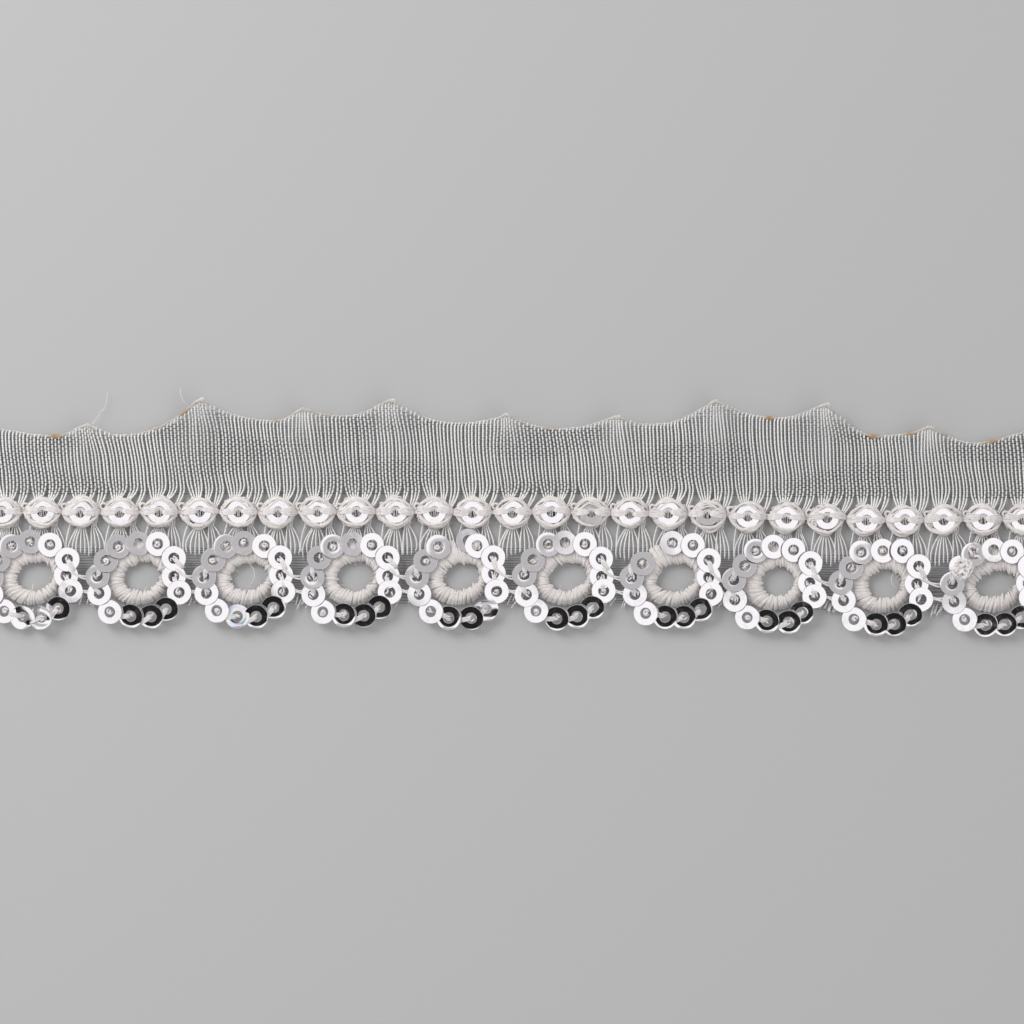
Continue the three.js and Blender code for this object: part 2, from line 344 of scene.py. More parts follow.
def startMaterial(name):
    material = bpy.data.materials.new(name)
    material.use_nodes = True
    tree = material.node_tree
    tint = addNode(tree, "ShaderNodeAttribute", attribute_name="tint").outputs["Fac"]
    place = addNode(tree, "ShaderNodeTexCoord").outputs["Object"]
    return material, tree, tint, place


def finishMaterial(tree, colour, roughness, height, strength, distance):
    shader = tree.nodes["Principled BSDF"]
    bump = addNode(tree, "ShaderNodeBump", {"Strength": strength, "Distance": distance, "Height": height})
    feed(tree, shader.inputs["Base Color"], colour)
    feed(tree, shader.inputs["Roughness"], roughness)
    feed(tree, shader.inputs["Normal"], bump.outputs[0])
    return shader


def makeThreadMaterial(name, look):
    material, tree, tint, place = startMaterial(name)
    run = addNode(tree, "ShaderNodeAttribute", attribute_name="threadRun").outputs["Vector"]
    lay = {"Run": run, "Turns per mm": look["turns"], "Plies": look["plies"]}
    twist = addNode(tree, "ShaderNodeGroup", lay, node_tree=twistGroup).outputs
    strands = {"Run": run, "Tint": tint, "Place": place}
    fibre = addNode(tree, "ShaderNodeGroup", strands, node_tree=fibreGroup).outputs
    body = mixColours(tree, fibre["Tone"], look["light"], look["dark"])
    # Painted shade: the twist grooves are darkened towards each look's groove colour
    paintedGrooveShade = maths(tree, "MULTIPLY", twist["Painted Groove Shade"], look["paintedGrooveShadeDepth"])
    colour = mixColours(tree, paintedGrooveShade, body, look["paintedGrooveShade"])
    height = maths(tree, "MULTIPLY_ADD", fibre["Height"], 0.35, twist["Height"])
    roughness = remap(tree, fibre["Height"], 0.0, 1.0, look["rough"] - 0.08, look["rough"] + 0.12)
    shader = finishMaterial(tree, colour, roughness, height, look["bump"], 0.00003)
    shader.inputs["Sheen Weight"].default_value = look["sheen"]
    shader.inputs["Sheen Roughness"].default_value = 0.4
    shader.inputs["Specular IOR Level"].default_value = look["gloss"]
    return material


# In each look the third colour, and the depth it is laid to, are painted shade in the twist grooves; light
# and dark are the yarn's own tones
weftLook = {
    "light": (0.88, 0.87, 0.855, 1), "dark": (0.72, 0.71, 0.7, 1), "paintedGrooveShade": (0.42, 0.41, 0.4, 1),
    "paintedGrooveShadeDepth": 0.25, "turns": 1.8, "plies": 2.0, "bump": 0.5, "rough": 0.5, "sheen": 0.2, "gloss": 0.4,
}
warpLook = {
    "light": (0.055, 0.055, 0.06, 1), "dark": (0.025, 0.025, 0.03, 1), "paintedGrooveShade": (0.01, 0.01, 0.01, 1),
    "paintedGrooveShadeDepth": 0.3, "turns": 2.5, "plies": 2.0, "bump": 0.3, "rough": 0.5, "sheen": 0.1, "gloss": 0.4,
}
embroideryLook = {
    "light": (0.75, 0.712, 0.695, 1), "dark": (0.62, 0.578, 0.56, 1), "paintedGrooveShade": (0.42, 0.38, 0.36, 1),
    "paintedGrooveShadeDepth": 0.18, "turns": 1.1, "plies": 2.0, "bump": 0.4, "rough": 0.5, "sheen": 0.25, "gloss": 0.35,
}
holdingLook = {
    "light": (0.8, 0.77, 0.765, 1), "dark": (0.67, 0.632, 0.625, 1), "paintedGrooveShade": (0.43, 0.39, 0.385, 1),
    "paintedGrooveShadeDepth": 0.18, "turns": 1.0, "plies": 2.0, "bump": 0.4, "rough": 0.4, "sheen": 0.15, "gloss": 0.45,
}
weftYarn = makeThreadMaterial("whiteWeftYarn", weftLook)
warpYarn = makeThreadMaterial("darkWarpFilament", warpLook)
embroideryThread = makeThreadMaterial("embroideryThread", embroideryLook)
holdingThread = makeThreadMaterial("sequinHoldingThread", holdingLook)


def makeFusedMaterial():
    # Heat-cut edge: tint 0 is clean and light, 1 is scorched brown
    material, tree, tint, place = startMaterial("fusedEdge")
    specks = noise(tree, place, 2600.0, 3.0)
    clean = mixColours(tree, specks, (0.7, 0.67, 0.63, 1), (0.34, 0.31, 0.28, 1))
    burnt = mixColours(tree, specks, (0.5, 0.33, 0.15, 1), (0.2, 0.1, 0.035, 1))
    roughness = remap(tree, specks, 0.0, 1.0, 0.28, 0.55)
    finishMaterial(tree, mixColours(tree, tint, clean, burnt), roughness, specks, 0.7, 0.00005)
    return material


def makeSequinMaterial():
    # Mirror film: tint 0 is plain silver, 1 has a pearly play of colour
    material, tree, tint, place = startMaterial("silverSequinFilm")
    film = addNode(tree, "ShaderNodeGroup", {"Place": place}, node_tree=filmGroup).outputs
    colour = mixColours(tree, tint, (0.935, 0.91, 0.94, 1), film["Sheen Colour"])
    shader = finishMaterial(tree, colour, film["Haze"], film["Height"], 0.12, 0.00003)
    shader.inputs["Metallic"].default_value = 1.0
    return material


fusedEdge = makeFusedMaterial()
sequinFilm = makeSequinMaterial()
print("materials made")


# The woven ground: white wefts across, fine dark warps along.
# How far up the cloth something lies is measured from the line of the rosettes.

ground = {
    "seed": 11, "level": 0.45, "foot": -11.7, "flatArea": 0.00249,  # the area in square metres
    "pitch": 0.445, "weftRadius": 0.118, "crimp": 0.12, "endHook": 0.2,  # wefts in the band
    "closing": 0.32, "closingWidth": 1.6,  # how they close up near the crests
    "clusterMiddle": 1.0, "clusterHeights": (1.78, 1.62, 1.0), "clusterPlaces": (-0.35, 1.08, 2.05),
    "clusterSpacing": 0.2, "hookStarts": (4.0, 3.7, 3.4), "hookPower": 2.2,
    "fanLength": 3.7, "fanRadius": 0.095, "fanSpacing": 0.19,
    "bandFoot": 2.3, "warpPitch": 0.28, "warpRadius": 0.045, "warpWaver": 0.035,
    "bareTop": -4.55, "barePitch": 0.31, "bareRows": 23, "bareRadius": 0.034,
    "gapTop": -7.9, "gapHalfWidth": 3.1,  # below this height bare warps are left in the gaps alone
    "cutYarns": 9, "loopedCrests": (1, 3, 5, 7),
    "rippleFadesAt": 3.6, "rippleHalfWidth": 2.3, "rippleSteepens": 1.3, "rippleShare": 0.92,
    "leftEdge": 10.6, "rightEdge": 10.5, "firstValley": (-57.1, 9.5), "shoulder": 1.6,
}
# crest, reach, left shoulder, right shoulder, next valley, its edge, rise
ripples = [
    (-53.0, 10.9, 10.4, 10.25, -49.0, 9.6, 1.3),
    (-38.9, 14.1, 12.8, 13.05, -29.6, 11.4, 2.6),
    (-26.1, 12.9, 12.0, 12.35, -21.0, 12.0, 1.8),
    (-15.1, 13.9, 13.35, 13.0, -6.8, 11.1, 2.3),
    (-0.6, 12.1, 11.65, 11.3, 6.0, 10.4, 1.8),
    (13.1, 11.9, 11.45, 11.35, 17.5, 10.95, 1.5),
    (25.4, 13.8, 13.0, 13.15, 33.3, 11.75, 2.3),
    (39.1, 13.4, 12.85, 12.15, 45.6, 9.5, 2.5),
    (52.1, 10.6, 10.0, 9.9, 57.9, 8.6, 1.6),
]
crests = [row[0] for row in ripples]
highestReach = max(row[1] for row in ripples)
warpRows = int((highestReach - ground["bandFoot"]) / ground["warpPitch"]) + 1
# The three fans under a rosette: apex, how low it is, and the spread of the first and last yarn
fans = [(-1.45, 1.8, -0.35, -0.35), (-0.1, 2.13, -1.5, 1.1), (1.5, 1.85, -0.4, 1.15)]


def edgeTable():
    # x, height, and whether the edge runs level there
    rows = [(-halfLength, ground["leftEdge"], True), (*ground["firstValley"], True)]
    for crest, reach, left, right, valley, low, _ in ripples:
        rows += [(crest - ground["shoulder"], left, False), (crest, reach, False)]
        rows += [(crest + ground["shoulder"], right, False), (valley, low, True)]
    rows.append((halfLength, ground["rightEdge"], True))
    return rows


edgeRows = edgeTable()


def topEdge(x):
    x = np.clip(np.asarray(x, float), -halfLength, halfLength)
    height = np.zeros_like(x)
    for (x0, y0, level0), (x1, y1, level1) in zip(edgeRows, edgeRows[1:]):
        share = np.clip((x - x0) / (x1 - x0), 0, 1)
        if level0:
            eased = share * share * (3 - 2 * share) if level1 else share * share
        else:
            eased = 1 - (1 - share) ** 2 if level1 else share
        height = np.where((x >= x0) & (x <= x1), y0 + (y1 - y0) * eased, height)
    return height


def rippleRise(x, height):
    x, height = np.broadcast_arrays(np.asarray(x, float), np.asarray(height, float))
    fadesAt = ground["rippleFadesAt"]
    towardsEdge = np.clip((height - fadesAt) / (topEdge(x) - fadesAt), 0, 1.05)
    rise = sum(row[-1] * bell(x, row[0], ground["rippleHalfWidth"]) for row in ripples)
    return ground["rippleShare"] * rise * towardsEdge ** ground["rippleSteepens"]


def clothLevel(x, y):
    return ground["level"] + rippleRise(x, y - rowY)


def warpHeight(row, x):
    # A band warp with its own slow waver
    waver = wander(np.random.default_rng(700 + row), x, ground["warpWaver"], 3, 9.0)
    return ground["bandFoot"] + row * ground["warpPitch"] + waver + rowSag(x) * 0.5


def crimpShare(x, y):
    # Where the weave is open the wefts dip deep, elsewhere they lie nearly straight
    mix = np.sin(x * 0.31 + 0.6) + np.sin(x * 0.13 + y * 0.7) + np.sin(y * 0.9 - x * 0.21)
    return 0.4 + 0.6 * smooth(mix, -0.9, 1.3)


def topLean(x):
    # How far the yarns' upper ends lie to the left of their feet
    inwards = smooth(halfLength - np.abs(x), 0, 4)
    return -inwards * (0.72 + 0.6 * bell(x, -49, 8) + 0.15 * np.sin(x / 7.0))


def sway(x, height):
    # Neighbouring yarns bend together, so this depends smoothly on both
    fold = np.sin(0.75 * height + 0.33 * x) + np.sin(0.42 * height - 0.21 * x + 1.3)
    return 0.07 * fold * smooth(height, 2.4, 5.0)


def yarnX(start, height):
    # Where a yarn that starts from this foot lies higher up
    x = start + topLean(start) * np.clip((height - 2.8) / 8.5, 0, 1.25) + sway(start, height)
    pull = sum((crest - x) * bell(x, crest, ground["closingWidth"]) for crest in crests)
    return x + ground["closing"] * pull * smooth(height - topEdge(x), -3.6, -0.3)


def gatherAbove(members, middle, rng):
    # Draws the wefts over one rosette into three clusters
    firstSplit = 0.85 + rng.uniform(-0.25, 0.25)
    secondSplit = 2.2 + rng.uniform(-0.2, 0.25)
    for plan in members:
        plan["group"] = int(plan["offset"] > firstSplit) + int(plan["offset"] > secondSplit)
    for group, (place, height) in enumerate(zip(ground["clusterPlaces"], ground["clusterHeights"])):
        cluster = [plan for plan in members if plan["group"] == group]
        shift = rng.uniform(-0.12, 0.12)
        drop = rng.uniform(-0.08, 0.08)
        for rank, plan in enumerate(cluster):
            aside = rank - (len(cluster) - 1) / 2
            plan["gather"] = middle + place + shift + aside * ground["clusterSpacing"]
            fall = 0.3 * max(0.0, plan["gather"] - middle - 1.2) if group else -0.12 * min(0.0, aside)
            plan["gatherY"] = height + drop - fall


def fanBelow(members, middle, rng):
    # Spreads them out again under the rosette
    for fan, (apex, low, left, right) in zip((members[:1], members[1:-4], members[-4:]), fans):
        drift = rng.uniform(-0.15, 0.15)
        for rank, plan in enumerate(fan):
            share = rank / max(1, len(fan) - 1)
            aside = ground["fanSpacing"] * (rank - (len(fan) - 1) / 2)
            plan["apex"] = middle + apex + aside
            plan["apexY"] = -low + 0.12 * abs(2 * share - 1) + rng.uniform(-0.05, 0.05)
            plan["spread"] = left + (right - left) * share - aside + drift
            plan["reach"] = rng.uniform(0.82, 1.06)
            plan["bow"] = rng.uniform(0.1, 0.4)


def weftPlan():
    # For each weft: its foot in the band, the cluster it is drawn into and its fan below
    rng = np.random.default_rng(ground["seed"])
    starts = np.arange(-halfLength + 0.25, halfLength - 0.2, ground["pitch"])
    plans = []
    for start in starts + rng.uniform(-0.035, 0.035, len(starts)):
        k = int(np.argmin(np.abs(rosettes[:, 0] + ground["clusterMiddle"] - start)))
        tip = rng.uniform(0.0, 0.1)
        plans.append({"start": start, "rosette": k, "offset": start - rosettes[k, 0], "tip": tip})
    for k, middle in enumerate(rosettes[:, 0]):
        members = [plan for plan in plans if plan["rosette"] == k]
        gatherAbove(members, middle, rng)
        fanBelow(members, middle, rng)
    return plans


def insideEyelets(x, y, grow):
    # True inside any eyelet's outer ellipse grown by this much
    x, y = np.broadcast_arrays(x, y)
    inside = np.zeros(x.shape, bool)
    for middle in eyeletMiddles:
        across = (x - middle[0]) / (eyelet["halfWidth"] + grow)
        up = (y - middle[1]) / (eyelet["halfHeight"] + grow)
        inside |= across**2 + up**2 < 1
    return inside


def weftPath(index, plan):
    # Points from the cut edge down to the free end under the sequins
    start = plan["start"]
    top = float(topEdge(start))
    for _ in range(3):
        top = float(topEdge(yarnX(start, top)))
    top += plan["tip"]
    rows = [row for row in range(warpRows) if warpHeight(row, start) < top - 0.12][::-1]
    sag = float(rowSag(start))
    heights = np.array([top] + [float(warpHeight(row, start)) for row in rows])
    crossing = np.array([0.0] + [1.0 if (row + index) % 2 else -1.0 for row in rows])
    gatherY = plan["gatherY"] + sag
    hookStart = ground["hookStarts"][plan["group"]] + sag

    def drawnIn(height):
        return np.clip((hookStart - height) / (hookStart - gatherY), 0, 1) ** ground["hookPower"]

    x = yarnX(start, heights) + (plan["gather"] - start) * drawnIn(heights)
    x += ground["endHook"] * np.clip(1 - (top - heights) / 0.6, 0, 1) ** 2  # the cut ends bend over
    y = heights + rowY
    band = line(x, y, clothLevel(x, y) + crossing * ground["crimp"] * crimpShare(x, y))
    # From the last warp into the rosette, under it, and out below in a fan
    steps = np.linspace(0, 1, 5)[1:]
    lowY = heights[-1] + (gatherY - heights[-1]) * steps
    lowX = start + (plan["gather"] - start) * drawnIn(lowY)
    entry = line(lowX, lowY + rowY, ground["level"] + 0.12 * steps)
    apexX = plan["apex"]
    apexY = plan["apexY"] + sag
    under = [[(lowX[-1] + apexX) / 2, (gatherY + apexY) / 2 + rowY, 0.3], [apexX, apexY + rowY, 0.42]]
    fall = np.linspace(0, 1, 11)[1:]
    fanX = apexX + plan["spread"] * (np.sin(fall * math.pi / 2) + plan["bow"] * np.sin(fall * math.pi))
    fanY = apexY + rowY - ground["fanLength"] * plan["reach"] * fall
    fan = line(fanX, fanY, 0.42 + 0.1 * np.sin(fall * math.pi))
    cut = insideEyelets(fanX, fanY, -0.7)
    if cut.any():
        fan = fan[: max(2, int(np.argmax(cut)) + 1)]
    return np.concatenate([band, entry, under, fan])


def addWefts(pile, rng):
    byLength = {}
    for index, plan in enumerate(weftPlan()):
        path = weftPath(index, plan)
        byLength.setdefault(len(path), []).append(path)
    for paths in byLength.values():
        paths = np.array(paths)
        radius = np.where(paths[..., 1] < rowY, ground["fanRadius"], ground["weftRadius"])
        radius = radius * rng.uniform(0.9, 1.08, (len(paths), 1))
        addTubes(pile, paths, radius, alongTrim, sides=5, tint=rng.uniform(0, 0.6, len(paths)))


def addCrestLoops(pile, rng):
    # Two yarns that join in a small loop at some of the crests
    turn = np.linspace(-0.5, math.pi + 0.2, 8)
    for crest, reach, *_ in (ripples[k] for k in ground["loopedCrests"]):
        size = rng.uniform(0.2, 0.27)
        x = crest + 0.15 + size * np.cos(turn) + 0.12 * np.sin(turn)
        y = reach - 0.14 + (size + 0.03) * np.sin(turn) + rowY
        addTubes(pile, line(x, y, clothLevel(crest, y) + 0.03), 0.1, upward, sides=5, tint=0.3)


def addWarp(pile, x, y, keep, radius):
    # A warp, broken where it isn't kept
    ends = np.flatnonzero(np.diff(np.concatenate([[0], keep.astype(int), [0]])))
    for first, last in zip(ends[::2], ends[1::2]):
        if last - first >= 2:
            partX = x[first:last]
            partY = y[first:last]
            path = line(partX, partY, clothLevel(partX, partY))
            addTubes(pile, path, radius, (0, 1, 0), sides=3, look=1)


def addWarps(pile, rng):
    x = np.arange(-halfLength + 0.05, halfLength, 0.9)
    for row in range(warpRows):
        height = warpHeight(row, x)
        addWarp(pile, x, height + rowY, height < topEdge(x) - 0.15, ground["warpRadius"])
    # Bare warps left between the eyelets, and under them only in the gaps
    x = np.arange(-halfLength + 0.05, halfLength, 0.6)
    inGap = np.abs(x[:, None] - gaps[:, 0]).min(1) < ground["gapHalfWidth"]
    for row in range(ground["bareRows"]):
        height = ground["bareTop"] - row * ground["barePitch"] + wander(rng, x, 0.05, 3, 7.0)
        y = height + rowSag(x) + rowY
        keep = ~insideEyelets(x, y, -0.5) & ((height > ground["gapTop"]) | inGap)
        addWarp(pile, x, y, keep, ground["bareRadius"])


def addCutYarns(pile, rng):
    # Short ends still woven through the lowest warps
    v = np.linspace(0, 1, 5)
    for gapX, gapY in gaps:
        for _ in range(ground["cutYarns"]):
            at = gapX + rng.uniform(-1.5, 1.9)
            length = rng.uniform(0.7, 1.5)
            x = at + rng.uniform(-0.75, -0.25) * length * v
            y = gapY - rng.uniform(2.1, 2.7) - length * v
            path = line(x, y, ground["level"] + 0.06 * np.sin(v * 9 + at) + 0.1 * v)
            radius = rng.uniform(0.045, 0.085)
            addTubes(pile, path, radius, alongTrim, sides=5, tint=rng.uniform(0, 0.9))


def makeGroundWeave():
    pile = newPile()
    rng = np.random.default_rng(ground["seed"] + 1)
    addWefts(pile, rng)
    addCrestLoops(pile, rng)
    addWarps(pile, rng)
    addCutYarns(pile, rng)
    return makePiece("ground_weave", pile, [weftYarn, warpYarn], ["ground_cloth"])


# The eyelets' outline, which the yarns below the band keep clear of
eyelet = {
    "halfWidth": 4.2, "halfHeight": 4.0, "turn": math.radians(13), "stitches": 82, "looseHairs": 14,
    "innerWidth": 0.135, "outerWidth": 0.215, "seed": 31,
}
# Width and height of each hole
holeSizes = [
    (4.8, 3.75), (4.9, 3.75), (4.9, 3.6), (4.9, 3.85), (4.9, 3.5),
    (5.1, 3.6), (5.1, 3.75), (4.3, 3.75), (4.5, 3.85), (5.5, 3.3),
]

groundWeave = makeGroundWeave()
print("ground woven:", len(groundWeave.data.polygons), "faces")


# The heat-cut upper edge: a thin uneven bead with scorched spots and bits of yarn in it

edgeBead = {"radius": 0.07, "uneven": 0.035, "swell": 0.2, "crestSwell": 0.17, "step": 0.12, "seed": 5}
# Where along the length, how far to each side, and how strong
scorches = [
    (-57.1, 1.0, 1.0), (-41.0, 0.8, 0.8), (-44.6, 1.0, 0.3), (-29.4, 0.6, 0.55),
    (-23.0, 1.5, 0.25), (4.6, 1.0, 0.4), (32.2, 0.6, 1.0), (45.2, 0.9, 0.9),
    (49.8, 0.7, 0.8), (54.0, 0.7, 0.4), (60.1, 1.0, 0.8),
]
frays = [(40.4, 42.9, 10), (-12.6, -11.3, 4), (-54.2, -53.2, 4)]  # from, to, bits


def addFrays(pile, rng):
    # Bits of yarn that stick out of the edge
    v = np.linspace(0, 1, 4)
    for start, end, count in frays:
        for _ in range(count):
            at = rng.uniform(start, end)
            heading = rng.uniform(0.2, 1.9)
            length = rng.uniform(0.2, 0.42)
            y = float(topEdge(at)) + rowY - 0.08
            path = line(
                at + math.cos(heading) * length * v,
                y + math.sin(heading) * length * v,
                clothLevel(at, y) + 0.05 * v,
            )
            addTubes(pile, path, rng.uniform(0.045, 0.08), upward, sides=5, tint=rng.uniform(0, 0.5))


def makeEdgeBead():
    rng = np.random.default_rng(edgeBead["seed"])
    pile = newPile()
    x = np.arange(-halfLength + 0.1, halfLength - 0.05, edgeBead["step"])
    scorch = sum(strength * bell(x, at, reach) for at, reach, strength in scorches)
    crested = sum(bell(x, crest, 0.9) for crest in crests)
    y = topEdge(x) + rowY + wander(rng, x, 0.035, 4, 0.6) * (1 + crested)
    path = line(x, y - 0.06 * scorch, clothLevel(x, y) + 0.05 * crested)
    radius = edgeBead["radius"] + edgeBead["uneven"] * np.abs(wander(rng, x, 1.0, 4, 0.5))
    radius = radius + edgeBead["swell"] * scorch + edgeBead["crestSwell"] * crested
    addTubes(pile, path, radius, upward, sides=7, tint=np.clip(scorch, 0, 1)[None])
    addFrays(pile, rng)
    makePiece("header_fused_edge", pile, [fusedEdge])


makeEdgeBead()
print("edge fused")


# Sequins

sequin = {
    "radius": 1.53, "hole": 0.68, "thickness": 0.07, "bevel": 0.018, "segments": 36,
    "flangeFrom": 0.81, "flangeTo": 1.06, "lipFrom": 0.57, "lipTo": 0.45,  # shares of the radius
}


def turnTo(normal, facing):
    # Axes of a disc: its own x towards facing, z along normal
    z = unit(np.asarray(normal, float))
    x = unit(np.asarray(facing, float) - np.dot(facing, z) * z)
    return np.stack([x, np.cross(z, x), z])


def discShape(local, bend, dish, ripple, phase, flange=0.0, flangeAt=0.0, lip=0.0):
    # Height of a disc's middle surface at local points in its own plane; the flange is a
    # turned-up stretch of rim towards flangeAt, and the lip stands up round the hole
    r = np.hypot(local[..., 0], local[..., 1]) / sequin["radius"]
    angle = np.arctan2(local[..., 1], local[..., 0])
    across = (local[..., 0] * math.cos(phase) + local[..., 1] * math.sin(phase)) / sequin["radius"]
    turned = smooth(r, sequin["flangeFrom"], sequin["flangeTo"])
    turned = turned * smooth(np.cos(angle - flangeAt), -0.3, 0.6)
    raised = flange * turned + lip * smooth(r, sequin["lipFrom"], sequin["lipTo"])
    return bend * across**2 + dish * r**2 + ripple * r**3 * np.sin(3 * angle + phase) + raised


def addDisc(pile, middle, axes, shape, tint=0.0, scale=1.0):
    rim = sequin["radius"] * scale
    hole = sequin["hole"] * scale
    bevel = sequin["bevel"]
    half = sequin["thickness"] / 2
    keep = bevel + 0.02  # a second row beside each bevel keeps the faces flat
    rows = [rim - bevel, rim - keep, rim - 0.25, (rim + hole) / 2]
    rows += [hole + 0.19, hole + 0.1, hole + keep, hole + bevel]
    radii = np.array([rim, *rows, hole, *rows[::-1]])
    heights = np.repeat([0, half, 0, -half], [1, len(rows), 1, len(rows)])
    turn = np.arange(sequin["segments"])[:, None] * twoPi / sequin["segments"]
    r = radii * (1 + 0.008 * np.sin(2 * turn + shape["phase"]) + 0.006 * np.sin(5 * turn))
    local = line(r * np.cos(turn), r * np.sin(turn), 0.0)
    local[..., 2] = discShape(local, **shape) + heights
    addLoops(pile, middle + local @ axes, tint)


# The rosettes: padded lozenges of thread, each with one sequin

rosette = {
    "halfWidth": 2.28, "fullness": 0.7, "innerLid": 1.6, "outerLid": 1.72, "lids": 3, "strand": 0.215,
    "paddingWidth": 2.3, "paddingHeight": 1.64, "paddingRound": 1.7,  # to each side of the middle
    "slants": 8, "endWraps": 6, "wrapHeight": 1.78, "tipLoopShare": 0.75,
    "knots": ((-0.15, 1.84), (1.5, 1.59)),  # how far along, and how low
    "strayTurns": 7, "turnHeight": 1.66,
    "bandStrands": 6, "bandSpacing": 0.1, "holeArches": 3, "holeStrokes": 4,
    "sequinLevel": 1.4, "sequinScale": 0.97, "seat": (0.16, 0.13),  # how far it may sit off centre
    "seed": 77, "discSeed": 177,
}
dullRosettes = (15, 18)  # these look away from the light, behind more thread


def lidHeight(share):
    return arch(share, rosette["fullness"])


def addPadding(pile, middle):
    # A smooth filled lozenge under the strands, resting on the surface
    turn = np.arange(28) * twoPi / 28
    x = rosette["paddingWidth"] * np.cos(turn)
    y = np.sign(np.sin(turn)) * lidHeight(np.cos(turn)) * rosette["paddingHeight"]
    # Share of the full size, and height
    section = [
        (0.9, 0.02), (0.99, 0.3), (0.94, 0.75), (0.8, 1.08),
        (0.6, 1.22), (0.42, 1.1), (0.3, 0.6), (0.3, 0.25),
    ]
    loops = []
    for size, z in section:
        pointed = max(0.0, (size - 0.3) / 0.7)  # 0 is round
        loopX = size * x * (0.8 + 0.2 * pointed)
        loopY = size * (pointed * y + (1 - pointed) * rosette["paddingRound"] * np.sin(turn))
        loops.append(line(middle[0] + loopX, middle[1] + loopY, z))
    addLoops(pile, np.swapaxes(loops, 0, 1), 0.4)


def addLids(pile, middle, rng):
    # Long strands laid round the sequin from tip to tip
    lean = rng.uniform(-0.12, 0.12)
    bulge = rng.uniform(-0.18, 0.18, 2)
    u = np.linspace(-1, 1, 15)
    for side in (1, -1):
        for j in range(rosette["lids"]):
            share = j / (rosette["lids"] - 1)  # 0 beside the sequin, 1 outside
            reach = rosette["innerLid"] + (rosette["outerLid"] - rosette["innerLid"]) * share
            reach += rng.uniform(-0.06, 0.06)
            reach += bulge[max(side, 0)] * share + 0.1 * share * (side < 0)
            slew = rng.uniform(-0.12, 0.12)
            tip = rosette["halfWidth"] * rng.uniform(0.93, 1.03)
            y = side * reach * lidHeight(u + slew * (1 - u * u)) + rng.uniform(-0.1, 0.02)
            y = y + 0.06 * np.sin(u * 6 + rng.uniform(0, twoPi)) + lean * u * rosette["halfWidth"]
            z = 0.7 + 0.64 * arch(u, 0.5) * (1 - 0.6 * share**1.6) + rng.uniform(-0.03, 0.05)
            radius = rosette["strand"] * rng.uniform(0.88, 1.15) * (0.74 + 0.26 * arch(u, 1))
            addStrand(pile, middle, tip * u, y, z, radius, rng.uniform(0.1, 0.6), sides=7)


def addSlants(pile, middle, rng):
    # Short strands that cross the lids at a slant
    v = np.linspace(0, 1, 7)
    for _ in range(rosette["slants"]):
        side = 1 if rng.uniform() < 0.45 else -1
        at = rng.uniform(-0.85, 0.4) + rng.uniform(0.3, 0.5) * v
        outwards = v if rng.uniform() < 0.5 else 1 - v
        x = rosette["halfWidth"] * at
        y = side * (1.5 + 0.38 * outwards) * lidHeight(at)
        z = 0.74 + (0.74 - 0.62 * outwards**1.6) * arch(at, 0.5) - 0.3 * (2 * v - 1) ** 4
        addStrand(pile, middle, x, y, z, rng.uniform(0.13, 0.18), rng.uniform(0, 0.7))


def addUpperLids(pile, middle, rng, count):
    # Strands that lap over the sequin, so that it looks out like an eye
    u = np.linspace(-1, 1, 15)
    for j in range(count):
        reach = rng.uniform(1.36, 1.46) - 0.22 * j
        slew = rng.uniform(-0.2, 0.2)
        x = rosette["halfWidth"] * 0.98 * u
        y = reach * arch(u + slew * (1 - u * u), rng.uniform(1.3, 2.0)) + 0.1
        z = 0.8 + 0.78 * arch(u, 0.35)
        addStrand(pile, middle, x, y, z, rng.uniform(0.11, 0.14), rng.uniform(0, 0.5))


def addEndWraps(pile, middle, rng):
    # Slanting strands that wrap the two ends
    v = np.linspace(-1, 1, 9)
    for side in (-1, 1):
        for _ in range(rosette["endWraps"]):
            at = rng.uniform(0.5, 0.86)
            slanted = at + rng.uniform(-0.28, 0.28) * v * 0.6
            x = side * rosette["halfWidth"] * (slanted + 0.03 * v * v)
            y = v * rosette["wrapHeight"] * lidHeight(slanted) * 0.98
            z = 0.5 + 0.85 * np.sqrt(np.clip(1 - (0.92 * v) ** 2, 0, 1)) * (1.12 - 0.5 * at)
            radius = rng.uniform(0.14, 0.2)
            addStrand(pile, middle, x, y, z, radius, rng.uniform(0.1, 0.6), sides=7, across=alongTrim)


def addTips(pile, middle, rng):
    # A loop that stands out at the left tip, and the threads that run on to the next rosette
    if rng.uniform() < rosette["tipLoopShare"]:
        turn = np.linspace(-0.9, 4.6, 12)
        size = rng.uniform(0.28, 0.4)
        x = -2.1 + size * np.cos(turn)
        y = 0.72 + size * np.sin(turn)
        addStrand(pile, middle, x, y, 1.08 + 0.1 * np.sin(turn), 0.165, rng.uniform(0, 0.5))
    v = np.linspace(-1, 1, 7)
    for offset in (-0.12, 0.14):
        y = offset * (1 + 0.6 * v * v) + 0.03 * rng.normal(size=7)
        addStrand(pile, middle, 2.45 + 0.55 * v, y, 0.66 + 0.1 * (1 - v * v), 0.12, rng.uniform(0.2, 0.9))


